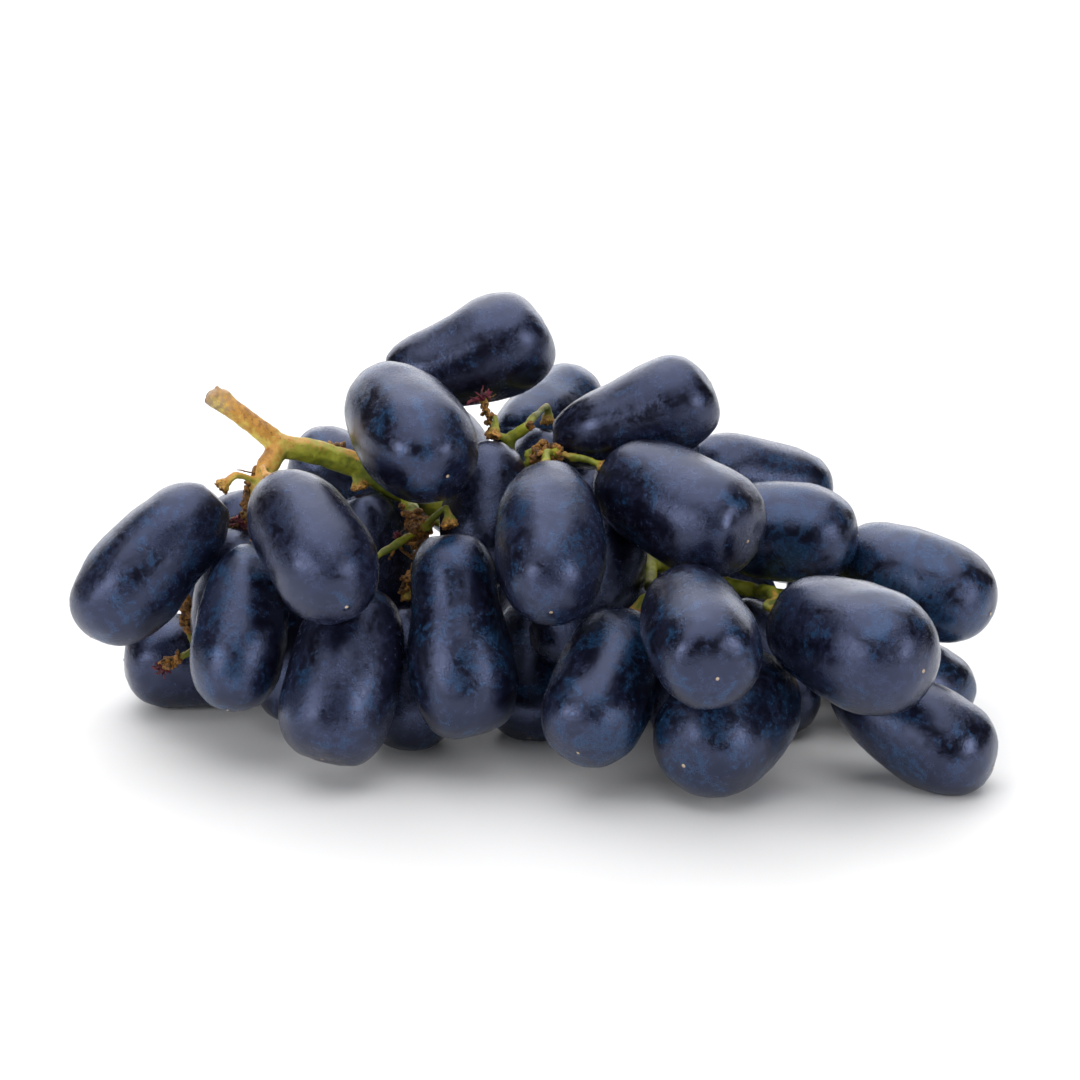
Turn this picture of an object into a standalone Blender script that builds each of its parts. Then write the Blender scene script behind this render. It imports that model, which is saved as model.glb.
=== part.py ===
"""A bunch of long, dark table grapes lying on its side, as picked, with its woody stem.

The stem is one piece: the peduncle with its cut end, the rachis, its side branches and one
pedicel for each grape. Each grape is a piece of its own, a little clear of its pedicel and
of its neighbours. The bunch rests on the flattened undersides of its lowest grapes.

World frame: +X along the bunch from the cut end to the tail, +Y to the back, +Z up, with
z = 0 at the surface that the bunch lies on.
"""

import math
from collections import namedtuple

import bmesh
import bpy
import numpy as np
from mathutils import Vector

# Lengths are in millimetres until a mesh is made.
MM = 0.001

# The bunch is laid out on a plane that leans back, because it lies against its own belly.
LEAN = math.radians(18.0)
LAYOUT_HEIGHT = 32.0

# The clearance between two grapes, or between a grape and the stem.
GAP = 0.3
# How far the lowest grapes give way where they rest.
PRESS = 0.55

# A grape's outline is a superellipse: 2 is an ellipse, and more is fuller.
FULLNESS = 2.35
GRAPE_SEGMENTS = 12
GRAPE_RINGS = 8
# A grape is kept clear of its neighbours by balls along its axis, inside its skin.
BALLS = 8
BALL_REACH = 0.68

PEDICEL_RADIUS = 0.75
RECEPTACLE_RADIUS = 1.9
RECEPTACLE_LENGTH = 2.4
BRANCH_STEP = 2.0

ROUNDS = 360
SETTLING_ROUNDS = 200

Grape = namedtuple("Grape", "across up forward turn tilt length thick taper", defaults=(0.08,))

# Where each grape sits on the leaning plane: across to the right, up along the plane and
# forward out of it. Turn is where its tip points, clockwise from the right (90 is down),
# and tilt is how far the tip leans forward. Taper makes the tip end the thicker one.
GRAPES = {
    "crown": [
        Grape(-13.5, 39.5, -8, -19, 0, 33.5, 19.5, 0.14),
        Grape(-23, 24, 22, 52, 46, 33, 21.5),
        Grape(2.5, 27.5, -24, -40, -50, 30, 17),
        Grape(18, 27, 6, -20, 5, 33, 18, 0.16),
        Grape(0, 10.5, -14, 90, 0, 25, 15.5),
        Grape(-9, 8.5, 8, 95, 10, 28, 17),
        Grape(2.5, 3.5, 32, 88, 40, 33.5, 20.5),
    ],
    "shoulder": [
        Grape(-34, 14.5, -18, 207, 0, 29, 17),
        Grape(-40.5, 2.5, 32, 56, 36, 33, 20.5),
        Grape(-53.5, -12.5, 18, 98, 20, 32, 18),
        Grape(-70.5, -1, 10, 132, 5, 36, 20),
        Grape(-64, -20, -14, 180, 10, 30, 19),
        Grape(-58.5, 0.5, -22, 120, -30, 28, 16),
        Grape(-58, -8, -4, 100, 0, 27, 15.5),
        Grape(-44, -18, -10, 100, 0, 28, 18),
    ],
    "belly": [
        Grape(-13.5, -13.5, 26, 84, 5, 38.5, 20, 0.18),
        Grape(-35, -20.5, 13, 103, 15, 34, 22),
        Grape(-24.5, -23, 1, 88, -10, 28, 18.5),
        Grape(-28.5, 0.5, 0, 80, 0, 27, 16),
        Grape(-0.5, -22, 1, 90, 20, 28, 18),
        Grape(12.5, -22.5, 21, 112, 35, 31.5, 20),
        Grape(12, -7, 6, 113, 15, 32, 19),
        Grape(19.5, -22, -16, 100, -20, 30, 18),
        Grape(31, -26, -2, 95, -15, 28, 17),
    ],
    "flank": [
        Grape(25.5, 8.5, 22, 30, 33, 34, 22),
        Grape(46, 5.5, 0, 5, 12, 30, 19.5),
        Grape(43, 15, -16, 15, -20, 31, 18),
        Grape(29, -13.5, 40, 70, 60, 33, 20.5),
        Grape(34.5, -28, 22, 140, 46, 33, 23),
        Grape(47, -20.5, -4, 68, 10, 28, 17),
    ],
    "tail": [
        Grape(72, -4, -2, 25, 25, 33, 19.5),
        Grape(56.5, -15, 33, 22, 44, 35, 23.5),
        Grape(68.5, -31, 22, 34, 12, 34, 18.5, 0.14),
        Grape(69, -23, -10, 10, -20, 30, 17),
        Grape(62, -22, -22, 40, -30, 30, 18),
    ],
    "back": [
        Grape(-50, -10, -38, 115, -45, 32, 19),
        Grape(-31, -8, -38, 100, -50, 33, 20),
        Grape(-13, -7, -38, 92, -55, 31, 19),
        Grape(5, -8, -38, 88, -50, 33, 20),
        Grape(23, -8, -38, 80, -45, 32, 18.5),
        Grape(41, -10, -36, 60, -45, 32, 19.5),
        Grape(59, -11, -30, 30, -40, 31, 18.5),
        Grape(-38, 5, -36, 200, -55, 30, 18),
        Grape(-17, 16, -34, 250, -45, 32, 19),
        Grape(10, 12, -36, 290, -50, 31, 18.5),
        Grape(31, 7, -39, 345, -50, 31, 18.5),
        Grape(-56, 1, -36, 170, -40, 29, 17.5),
        Grape(50, 3, -36, 5, -45, 30, 18),
        Grape(21, 18, -36, 300, -30, 29, 17.5),
    ],
}

# The woody parts, as hand-laid routes of (across, up, forward, radius). A side branch
# starts on the centre line of the one that bears it.
BRANCHES = {
    "rachis": [
        (-60.5, 31, 8, 1.9),
        (-54, 26, 6, 2.0),
        (-48, 21.5, 4, 2.4),
        (-40.5, 20, 1, 2.5),
        (-33, 17.5, -1, 2.5),
        (-27.5, 14, -3, 2.4),
        (-19, 10, -5, 2.3),
        (-7.5, 5.5, -6, 2.2),
        (6, 2.5, -6, 2.1),
        (22, -0.5, -5, 1.9),
        (37, -5, -2, 1.6),
        (47, -7, 0, 1.4),
        (56, -11, -6, 1.2),
    ],
    "shoulder_branch": [
        (-48, 21.5, 4, 2.2),
        (-50.5, 17, 6, 2.1),
        (-52, 13, 6, 1.9),
        (-53.5, 8.5, 2, 1.6),
        (-53.5, 6.5, -2, 1.4),
    ],
    "shoulder_back": [
        (-53.5, 8.5, 2, 1.2),
        (-53, 6, -6, 1.3),
        (-50, -2, -14, 1.2),
        (-49, -10, -18, 1.1),
    ],
    "shoulder_low": [
        (-53.5, 8.5, 2, 1.2),
        (-60, 5, -5, 1.1),
        (-66.5, -5, -6, 1.0),
        (-66, -12, -4, 0.9),
        (-64.5, -17, -1.5, 0.9),
        (-70.5, -20.5, 0, 0.8),
    ],
    "crown_branch": [
        (-27.5, 14, -3, 1.6),
        (-29.5, 21, -4, 1.5),
        (-31, 27.5, -5, 1.4),
        (-31.5, 31.5, -4, 1.2),
    ],
    "crown_spur": [
        (-6.5, 5.5, -6, 1.5),
        (-5, 13.5, -3, 1.4),
        (-5, 20, -2, 1.3),
        (-4.5, 23, -1, 1.2),
        (-1.5, 25, 0, 1.1),
    ],
    "dry_twig": [
        (-4.5, 22, -1, 0.8),
        (-8, 24, 0, 0.8),
        (-9, 27, 1, 0.7),
        (-10, 30.5, 1, 0.9),
    ],
    "front_branch": [
        (-5, 14.5, -3, 1.2),
        (0.5, 19, 5, 1.2),
        (4, 20, 11, 1.1),
    ],
    "belly_branch": [
        (-24.5, 12.5, -3, 1.5),
        (-23, 9, 6, 1.5),
        (-22, 6, 10, 1.4),
        (-20, 6, 16, 1.2),
    ],
    "belly_low": [
        (-22, 6, 10, 1.2),
        (-21.5, -1, 7, 1.1),
        (-23, -6, 4, 1.0),
    ],
    "flank_branch": [
        (22, -0.5, -5, 1.4),
        (21.5, -5, 6, 1.3),
        (23.5, -6, 16, 1.2),
    ],
    "flank_top": [
        (22, -0.5, -5, 1.4),
        (25, 8, -9, 1.2),
        (27, 14, -10, 1.1),
    ],
    "tail_branch": [
        (42, -6, -1, 1.3),
        (44, -6, 8, 1.2),
        (44.5, -8, 15, 1.1),
    ],
    "back_left": [
        (-27.5, 14, -3, 1.4),
        (-31, 6, -14, 1.3),
        (-32, 1, -20, 1.1),
    ],
    "back_middle": [
        (-7.5, 5.5, -6, 1.4),
        (-7, 3, -16, 1.2),
        (-6, 2, -22, 1.1),
    ],
    "back_right": [
        (22, -0.5, -5, 1.4),
        (24, -1, -16, 1.2),
        (26, -2, -22, 1.1),
    ],
}

SKIN = {"color": (0.030, 0.034, 0.060, 1.0), "roughness": 0.42}
WOOD = {"color": (0.36, 0.33, 0.10, 1.0), "roughness": 0.65}


def clear_scene():
    for obj in list(bpy.data.objects):
        bpy.data.objects.remove(obj, do_unlink=True)


def new_collection(name):
    collection = bpy.data.collections.new(name)
    bpy.context.scene.collection.children.link(collection)
    return collection


def principled(name, color, roughness):
    material = bpy.data.materials.new(name)
    material.use_nodes = True
    shader = material.node_tree.nodes["Principled BSDF"]
    shader.inputs["Base Color"].default_value = color
    shader.inputs["Roughness"].default_value = roughness
    shader.inputs["Metallic"].default_value = 0.0
    material.diffuse_color = color
    return material


def from_layout(across, up, forward):
    """The world point, in millimetres, of a place on the leaning plane."""
    y = up * math.sin(LEAN) - forward * math.cos(LEAN)
    z = LAYOUT_HEIGHT + up * math.cos(LEAN) + forward * math.sin(LEAN)
    return np.array([across, y, z])


def tip_direction(turn, tilt):
    """The unit vector from a grape's stem end to its tip."""
    turn = math.radians(turn)
    tilt = math.radians(tilt)
    flat = math.cos(tilt)
    foot = from_layout(0, 0, 0)
    return from_layout(flat * math.cos(turn), -flat * math.sin(turn), math.sin(tilt)) - foot


def outline(angle, half_length, radius, taper):
    """(place along the axis, radius) of a grape's skin; the angle is 0 at the tip."""
    power = 2.0 / FULLNESS
    along = half_length * np.sign(np.cos(angle)) * np.abs(np.cos(angle)) ** power
    around = radius * np.abs(np.sin(angle)) ** power
    return along, around * (1 + taper * along / half_length)


def inner_balls(grape):
    """(places along the axis, radii) of balls that fill a grape, the last one its receptacle."""
    half = grape.length / 2
    along, around = outline(np.linspace(0, math.pi, 90), half, grape.thick / 2, grape.taper)
    places = np.linspace(-BALL_REACH * half, BALL_REACH * half, BALLS)
    reach = np.hypot(along - places[:, None], around).min(axis=1)
    collar = -(half + RECEPTACLE_LENGTH - RECEPTACLE_RADIUS / 2)
    return np.append(places, collar), np.append(reach, RECEPTACLE_RADIUS * 0.8)


def branch_balls():
    """(centres, radii, where a pedicel can start) of balls along every branch."""
    centres = []
    radii = []
    bearing = []
    for route in BRANCHES.values():
        points = [from_layout(*stop[:3]) for stop in route]
        for start, end, first, last in zip(points, points[1:], route, route[1:]):
            count = int(np.linalg.norm(end - start) / BRANCH_STEP) + 1
            for part in np.arange(count) / count:
                centres.append(start + (end - start) * part)
                radii.append(first[3] + (last[3] - first[3]) * part)
                bearing.append(True)
        centres.append(points[-1])
        radii.append(route[-1][3])
        bearing.append(False)
    return np.array(centres), np.array(radii), np.array(bearing)


def pedicel_routes(stem_ends, tips, nodes):
    """For each grape, points from the nearest branch to its stem end, on a curve."""
    handles = stem_ends - tips * (RECEPTACLE_LENGTH + 1.5)
    away = np.linalg.norm(handles[:, None] - nodes[None], axis=2)
    anchors = nodes[away.argmin(axis=1)]
    shares = np.array([0.0, 0.25, 0.5, 0.75, 1.0])[None, :, None]
    curve = (1 - shares) ** 2 * anchors[:, None]
    curve = curve + 2 * shares * (1 - shares) * (handles - tips)[:, None]
    return curve + shares**2 * handles[:, None]


def push(balls, radii, others, other_radii, allowed):
    """The deepest push on each body from each other one: (vectors, place of the ball)."""
    between = balls[:, None, :, None] - others[None, :, None, :]
    distance = np.linalg.norm(between, axis=-1) + 1e-9
    depth = radii[:, None, :, None] + other_radii[None, :, None, :] + GAP - distance
    depth = np.where(allowed, depth, -1.0)
    count = depth.shape[:2]
    flat = depth.reshape(*count, -1)
    best = flat.argmax(axis=-1)
    deepest = np.clip(np.take_along_axis(flat, best[..., None], -1)[..., 0], 0, None)
    ball, other = np.divmod(best, depth.shape[3])
    row, column = np.indices(count)
    way = between[row, column, ball, other] / distance[row, column, ball, other][..., None]
    return way * deepest[..., None], ball


def ease_apart(grapes):
    """Moves and turns the laid-out grapes until they clear each other, the stem and the table."""
    count = len(grapes)
    centres = np.array([from_layout(g.across, g.up, g.forward) for g in grapes])
    tips = np.array([tip_direction(g.turn, g.tilt) for g in grapes])
    offsets, radii = (np.array(part) for part in zip(*map(inner_balls, grapes)))
    half = np.array([[g.length / 2] for g in grapes])
    home = centres.copy()
    home_tips = tips.copy()
    wood, wood_radii, bearing = branch_balls()
    nodes = wood[bearing]
    toward_viewer = from_layout(0, 0, 1) - from_layout(0, 0, 0)

    apart = ~np.eye(count, dtype=bool)[:, :, None, None]
    both_collars = np.zeros((1, 1, BALLS + 1, BALLS + 1), dtype=bool)
    both_collars[..., -1, -1] = True
    grape_pairs = apart & ~both_collars
    skin_only = np.ones((1, 1, BALLS + 1, 1), dtype=bool)
    skin_only[..., -1, :] = False

    for turn in range(ROUNDS + SETTLING_ROUNDS):
        balls = centres[:, None] + offsets[..., None] * tips[:, None]
        pushes = []
        vectors, ball = push(balls, radii, balls, radii, grape_pairs)
        pushes.append((vectors * 0.5, ball))
        vectors, ball = push(balls, radii, wood[None], wood_radii[None], skin_only)
        pushes.append((vectors * 0.8, ball))
        routes = pedicel_routes(centres - half * tips, tips, nodes)
        stalks = np.full(routes.shape[:2], PEDICEL_RADIUS + 0.3)
        vectors, ball = push(balls, radii, routes, stalks, skin_only & apart)
        pushes.append((vectors * 0.7, ball))

        low = -PRESS - (balls[..., 2] - radii)
        lowest = low.argmax(axis=1)
        lift = np.clip(low.max(axis=1), 0, None)
        pushes.append((lift[:, None, None] * np.array([[[0.0, 0.0, 1.0]]]), lowest[:, None]))

        move = np.zeros((count, 3))
        twist = np.zeros((count, 3))
        for vectors, ball in pushes:
            arm = np.take_along_axis(offsets, ball, 1)[..., None] * tips[:, None]
            move += vectors.sum(axis=1)
            twist += np.cross(arm, vectors).sum(axis=1)

        pull = home - centres
        forward = (pull @ toward_viewer)[:, None] * toward_viewer
        spring = 1.0 if turn < ROUNDS else 0.0
        centres = centres + move * 0.6 + spring * ((pull - forward) * 0.06 + forward * 0.003)
        tips = tips + np.cross(twist / half**2 * 0.4, tips) + spring * (home_tips - tips) * 0.03
        tips = tips / np.linalg.norm(tips, axis=1)[:, None]
    return centres, tips, pedicel_routes(centres - half * tips, tips, nodes)


def grape_object(name, grape, centre, tip, material):
    mesh = bpy.data.meshes.new(name)
    shape = bmesh.new()
    bmesh.ops.create_uvsphere(shape, u_segments=GRAPE_SEGMENTS, v_segments=GRAPE_RINGS, radius=1)
    for vert in shape.verts:
        angle = math.acos(max(-1.0, min(1.0, vert.co.z)))
        along, around = outline(angle, grape.length / 2, grape.thick / 2, grape.taper)
        side = Vector((vert.co.x, vert.co.y)).normalized() * float(around)
        vert.co = Vector((side.x, side.y, float(along))) * MM
    shape.to_mesh(mesh)
    shape.free()
    mesh.shade_smooth()
    mesh.materials.append(material)
    obj = bpy.data.objects.new(name, mesh)
    obj.location = Vector(centre) * MM
    obj.rotation_mode = "QUATERNION"
    obj.rotation_quaternion = Vector(tip).to_track_quat("Z", "Y")
    return obj


def tube(name, route, radii, resolution, material):
    """A closed mesh tube along a route; radii are those of its points."""
    curve = bpy.data.curves.new(name, "CURVE")
    curve.dimensions = "3D"
    curve.bevel_depth = MM
    curve.bevel_resolution = resolution
    curve.use_fill_caps = True
    spline = curve.splines.new("POLY")
    spline.points.add(len(route) - 1)
    for point, place, radius in zip(spline.points, route, radii):
        point.co = (*(Vector(place) * MM), 1)
        point.radius = radius
    source = bpy.data.objects.new(name + "_curve", curve)
    bpy.context.scene.collection.objects.link(source)
    bpy.context.view_layer.update()
    graph = bpy.context.evaluated_depsgraph_get()
    mesh = bpy.data.meshes.new_from_object(source.evaluated_get(graph))
    shape = bmesh.new()
    shape.from_mesh(mesh)
    bmesh.ops.remove_doubles(shape, verts=shape.verts, dist=1e-6)
    shape.to_mesh(mesh)
    shape.free()
    mesh.shade_smooth()
    mesh.materials.clear()
    mesh.materials.append(material)
    obj = bpy.data.objects.new(name, mesh)
    obj.matrix_world = source.matrix_world
    bpy.data.objects.remove(source)
    return obj


def pedicel(name, route, tip, material):
    """One grape's stalk, which flares into the receptacle that carries the grape."""
    end = route[-1] + tip * (1.5 + RECEPTACLE_LENGTH - GAP)
    points = list(route[:-1])
    points.append(end - tip * RECEPTACLE_LENGTH)
    points.append(end - tip * RECEPTACLE_LENGTH * 0.45)
    points.append(end)
    thin = PEDICEL_RADIUS
    radii = [thin] * (len(points) - 3) + [thin * 1.15, RECEPTACLE_RADIUS * 0.9, RECEPTACLE_RADIUS]
    return tube(name, points, radii, 1, material)


def box(name, low, high):
    mesh = bpy.data.meshes.new(name)
    shape = bmesh.new()
    bmesh.ops.create_cube(shape, size=1)
    size = Vector(high) - Vector(low)
    middle = (Vector(high) + Vector(low)) / 2
    for vert in shape.verts:
        vert.co = (vert.co * size + middle) * MM
    shape.to_mesh(mesh)
    shape.free()
    return bpy.data.objects.new(name, mesh)


def add_helper(obj, collection):
    obj.hide_render = True
    obj.display_type = "WIRE"
    collection.objects.link(obj)


def main():
    clear_scene()
    bunch = new_collection("bunch_of_grapes")
    helpers = new_collection("helpers")
    twigs = new_collection("twigs")
    skin = principled("grape_skin", **SKIN)
    wood = principled("stem_wood", **WOOD)

    names = [f"grape_{part}_{k + 1}" for part, rows in GRAPES.items() for k in range(len(rows))]
    grapes = [grape for rows in GRAPES.values() for grape in rows]
    centres, tips, routes = ease_apart(grapes)

    table = box("table_cutter", (-200, -200, -50), (200, 200, 0))
    add_helper(table, helpers)
    middle = bpy.data.objects.new("bunch_middle", None)
    bunch.objects.link(middle)

    pieces = []
    for name, grape, centre, tip in zip(names, grapes, centres, tips):
        pieces.append(grape_object(name, grape, centre, tip, skin))
    for name, route in BRANCHES.items():
        points = [from_layout(*stop[:3]) for stop in route]
        branch = tube(name, points, [stop[3] for stop in route], 2, wood)
        if name == "rachis":
            stem = branch
            stem.name = "stem"
        else:
            add_helper(branch, twigs)
    for name, route, tip in zip(names, routes, tips):
        add_helper(pedicel(name + "_pedicel", route, tip, wood), twigs)
    union = stem.modifiers.new("grown_together", "BOOLEAN")
    union.operation = "UNION"
    union.solver = "MANIFOLD"
    union.operand_type = "COLLECTION"
    union.collection = twigs
    pieces.append(stem)

    for piece in pieces:
        bunch.objects.link(piece)
    for piece in pieces + list(twigs.objects):
        piece.parent = middle
    bpy.context.view_layer.update()
    corners = []
    for piece in pieces:
        places = np.array([piece.matrix_world @ vert.co for vert in piece.data.vertices])
        corners += [places.min(axis=0), places.max(axis=0)]
        if places[:, 2].min() < 0:
            flat = piece.modifiers.new("rests_on_table", "BOOLEAN")
            flat.operation = "DIFFERENCE"
            flat.solver = "EXACT"
            flat.object = table
    corners = np.array(corners)
    centre = (corners.min(axis=0) + corners.max(axis=0)) / 2
    middle.location = (-centre[0], -centre[1], 0.0)


main()
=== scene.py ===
# %% [markdown]
# # A bunch of dark grapes
#
# This lesson dresses a bunch of long, nearly black table grapes that lies on its side. The
# frame holds the true sizes: one plain solid for each grape and one for the woody stem.
# Every piece made here takes its place and size from those solids, and stands in for one.

# %% Load the frame
import math
import random

import bpy
import numpy as np
from mathutils import Matrix, Vector
from mathutils.kdtree import KDTree


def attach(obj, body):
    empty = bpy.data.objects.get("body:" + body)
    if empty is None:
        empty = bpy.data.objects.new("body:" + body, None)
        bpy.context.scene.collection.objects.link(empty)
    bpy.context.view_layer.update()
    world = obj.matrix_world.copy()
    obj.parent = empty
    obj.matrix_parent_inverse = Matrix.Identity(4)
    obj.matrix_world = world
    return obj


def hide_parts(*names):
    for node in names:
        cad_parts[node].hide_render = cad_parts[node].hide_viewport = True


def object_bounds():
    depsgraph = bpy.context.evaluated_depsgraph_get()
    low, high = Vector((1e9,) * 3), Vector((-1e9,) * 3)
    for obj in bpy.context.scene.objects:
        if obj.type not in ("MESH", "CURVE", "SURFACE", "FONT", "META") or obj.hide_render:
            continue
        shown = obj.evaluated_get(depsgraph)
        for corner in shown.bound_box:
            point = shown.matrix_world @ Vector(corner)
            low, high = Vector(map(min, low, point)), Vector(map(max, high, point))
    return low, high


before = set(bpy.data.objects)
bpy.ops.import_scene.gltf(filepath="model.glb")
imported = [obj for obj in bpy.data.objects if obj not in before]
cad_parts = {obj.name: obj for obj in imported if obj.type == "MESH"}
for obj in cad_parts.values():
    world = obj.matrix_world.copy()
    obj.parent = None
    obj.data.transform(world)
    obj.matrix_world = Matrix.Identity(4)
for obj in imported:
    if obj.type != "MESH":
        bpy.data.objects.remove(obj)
cad_low, cad_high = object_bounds()
MM = 0.001
print("nodes", len(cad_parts), "size mm", [round(v / MM, 1) for v in cad_high - cad_low])

# %% [markdown]
# ## Selecting and applying
#
# An operator works on whatever is selected, and the frame arrives selected. These helpers
# clear the selection, pick one object, and pick vertices by a test on their place, so that
# the steps below read as they would be done by hand.


# %% Helpers for operators
def pick(obj):
    """Only this object is selected and active."""
    if bpy.context.mode != "OBJECT":
        bpy.ops.object.mode_set(mode="OBJECT")
    bpy.ops.object.select_all(action="DESELECT")
    obj.select_set(True)
    bpy.context.view_layer.objects.active = obj


def pick_verts(obj, test):
    """In edit mode, selects the vertices whose place passes the test."""
    bpy.ops.object.mode_set(mode="OBJECT")
    for item in list(obj.data.polygons) + list(obj.data.edges):
        item.select = False
    for vert in obj.data.vertices:
        vert.select = test(vert.co)
    bpy.ops.object.mode_set(mode="EDIT")
    bpy.ops.mesh.select_mode(type="VERT")


def pick_faces(obj, test):
    """In edit mode, selects the faces whose centre passes the test."""
    bpy.ops.object.mode_set(mode="OBJECT")
    for item in list(obj.data.vertices) + list(obj.data.edges):
        item.select = False
    for face in obj.data.polygons:
        face.select = test(face.center)
    bpy.ops.object.mode_set(mode="EDIT")
    bpy.ops.mesh.select_mode(type="FACE")


def add_modifier(obj, kind, **settings):
    """Adds a modifier and sets it. Nothing is applied yet."""
    modifier = obj.modifiers.new(kind.lower(), kind)
    for key, value in settings.items():
        setattr(modifier, key, value)
    return modifier


def apply_all(obj):
    """Applies the object's modifiers from the first to the last."""
    pick(obj)
    for modifier in list(obj.modifiers):
        bpy.ops.object.modifier_apply(modifier=modifier.name)


def push_out(obj, texture, strength, **settings):
    """A Displace modifier whose pattern is fixed in space, so neighbours differ."""
    add_modifier(obj, "DISPLACE", texture=texture, texture_coords="GLOBAL", strength=strength, **settings)


def clouds(name, size, depth=2):
    """A soft noise, with details of about the size given."""
    texture = bpy.data.textures.new(name, "CLOUDS")
    texture.noise_scale = size
    texture.noise_depth = depth
    return texture


bpy.ops.object.select_all(action="DESELECT")

# %% [markdown]
# ## Measuring a grape
#
# Each grape's solid is a turned shape cut from flat faces. Its two ends are the vertices
# that lie furthest apart, and the end nearer the stem is the one that grew on it. Between
# them the skin follows a superellipse, a little thicker towards the tip, so its radius and
# its taper come from a straight line fitted through the rings.

# %% Read the axis, radius and taper of every grape
FULLNESS = 2.35
RESTING = 0.3 * MM
AWAY_FROM_ENDS = 0.9


def points_of(node):
    """The vertices of a solid in the frame, each once."""
    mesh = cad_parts[node].data
    places = np.empty(len(mesh.vertices) * 3, np.float32)
    mesh.vertices.foreach_get("co", places)
    return np.unique(np.round(places.reshape(-1, 3).astype(float), 6), axis=0)


def measure_grape(node, stem_points):
    """The centre, axis, half length, radius and taper of one grape's solid."""
    points = points_of(node)
    apart = np.linalg.norm(points[:, None] - points[None], axis=2)
    one, other = np.unravel_index(apart.argmax(), apart.shape)
    near = [np.linalg.norm(stem_points - points[k], axis=1).min() for k in (one, other)]
    if near[0] > near[1]:
        one, other = other, one
    stem_end, tip = points[one], points[other]
    centre = (stem_end + tip) / 2
    half = np.linalg.norm(tip - stem_end) / 2
    axis = (tip - stem_end) / (2 * half)
    along = (points - centre) @ axis / half
    around = np.linalg.norm((points - centre) - np.outer((points - centre) @ axis, axis), axis=1)
    rings = (np.abs(along) < AWAY_FROM_ENDS) & (points[:, 2] > RESTING)
    full = around[rings] / (1 - np.abs(along[rings]) ** FULLNESS) ** (1 / FULLNESS)
    slope, radius = np.polyfit(along[rings], full, 1)
    return {
        "centre": Vector(centre),
        "axis": Vector(axis),
        "half": half,
        "radius": radius,
        "taper": slope / radius,
        "rests": points[:, 2].min() < RESTING,
    }


stem_points = points_of("stem")
grapes = {name: measure_grape(name, stem_points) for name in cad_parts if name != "stem"}
for name in sorted(grapes)[:4]:
    size = grapes[name]
    print(name, "long", round(2 * size["half"] / MM, 1), "thick", round(2 * size["radius"] / MM, 1))

# %% [markdown]
# ## One grape
#
# A grape could be a scaled sphere, but a real one is fuller than an ellipse, dished where
# the pedicel holds it, and marked at the tip by the small corky scar of the style. One grape
# is modelled well, of radius one, and then copied. A sphere is added, its rings are moved
# to the fuller outline one by one, and the two ends are inset and pressed in.

# %% Model the master grapes
SEGMENTS = 24
RINGS = 16
BLOCKY = 2.85
SAME_RING = 1e-4
STEM_END = -0.95
TIP_END = 0.97
# Width of each inset and how far it is pressed in, in radii of the grape.
STEM_DISH = ((0.10, -0.010), (0.06, -0.022))
STYLE_SCAR = ((0.27, 0.0), (0.045, -0.010), (0.020, 0.014))


def fuller(level, around, fullness):
    """(height, radius) of the superellipse for a point of the unit circle."""
    return math.copysign(abs(level) ** (2 / fullness), level), around ** (2 / fullness)


def model_grape(name, fullness):
    """A grape of radius 1 and half length 1, with its stem end down and its tip up."""
    bpy.ops.object.select_all(action="DESELECT")
    bpy.ops.mesh.primitive_uv_sphere_add(segments=SEGMENTS, ring_count=RINGS, radius=1)
    grape = bpy.context.object
    grape.name = name
    for ring in range(1, RINGS):
        level = math.cos(math.pi * ring / RINGS)
        around = math.sin(math.pi * ring / RINGS)
        height, radius = fuller(level, around, fullness)
        pick_verts(grape, lambda co: max(abs(co.z - level), abs(co.xy.length - around)) < SAME_RING)
        spread = radius / around
        bpy.ops.transform.resize(value=(spread, spread, 1), center_override=(0, 0, level))
        bpy.ops.transform.translate(value=(0, 0, height - level))
    pick_faces(grape, lambda co: co.z < STEM_END)
    for width, depth in STEM_DISH:
        bpy.ops.mesh.inset(thickness=width, depth=depth)
    pick_faces(grape, lambda co: co.z > TIP_END)
    for width, depth in STYLE_SCAR:
        bpy.ops.mesh.inset(thickness=width, depth=depth)
    bpy.ops.object.mode_set(mode="OBJECT")
    add_modifier(grape, "SUBSURF", levels=1, render_levels=1)
    apply_all(grape)
    bpy.ops.object.shade_smooth()
    # Each vertex keeps its place on the unit grape, and the copies carry it along.
    place = grape.data.attributes.new("grape_place", "FLOAT_VECTOR", "POINT")
    place.data.foreach_set("vector", [value for vert in grape.data.vertices for value in vert.co])
    print(name, len(grape.data.polygons), "faces")
    return grape


plump = model_grape("plump_grape", FULLNESS)
blocky = model_grape("blocky_grape", BLOCKY)

# %% [markdown]
# ## All the grapes
#
# Every copy is scaled to its own length and thickness, tapered, bent a little and given
# soft uneven patches by a broad noise. Then it is turned and moved to its place, and the
# place is applied to its mesh. The lowest grapes are pressed flat where they rest.

# %% Copy and fit the grapes
# Bend in degrees, extra taper, waist, where the waist lies along the grape, and the master.
HABITS = {
    "grape_crown_1": (30, 0.10, 0.05, -0.3, blocky),
    "grape_crown_4": (24, 0.06, 0.04, -0.2, blocky),
    "grape_belly_1": (9, -0.07, 0.11, -0.30, blocky),
    "grape_shoulder_4": (13, 0.01, 0.05, -0.2, plump),
    "grape_tail_3": (14, 0.07, 0.03, -0.4, plump),
}
UNEVEN = clouds("uneven_skin", 9 * MM)
UNEVEN_DEPTH = 1.1 * MM
DIMPLED = clouds("dimpled_skin", 3.5 * MM)
DIMPLED_DEPTH = 0.22 * MM
BLOCKY_SLIM = 0.98
PINCH_RING = 0.07
PINCH_REACH = 0.55
OFF_TABLE = 0.02 * MM
CAMERA_SIDE = Vector((0, -1, 0.3))


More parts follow.
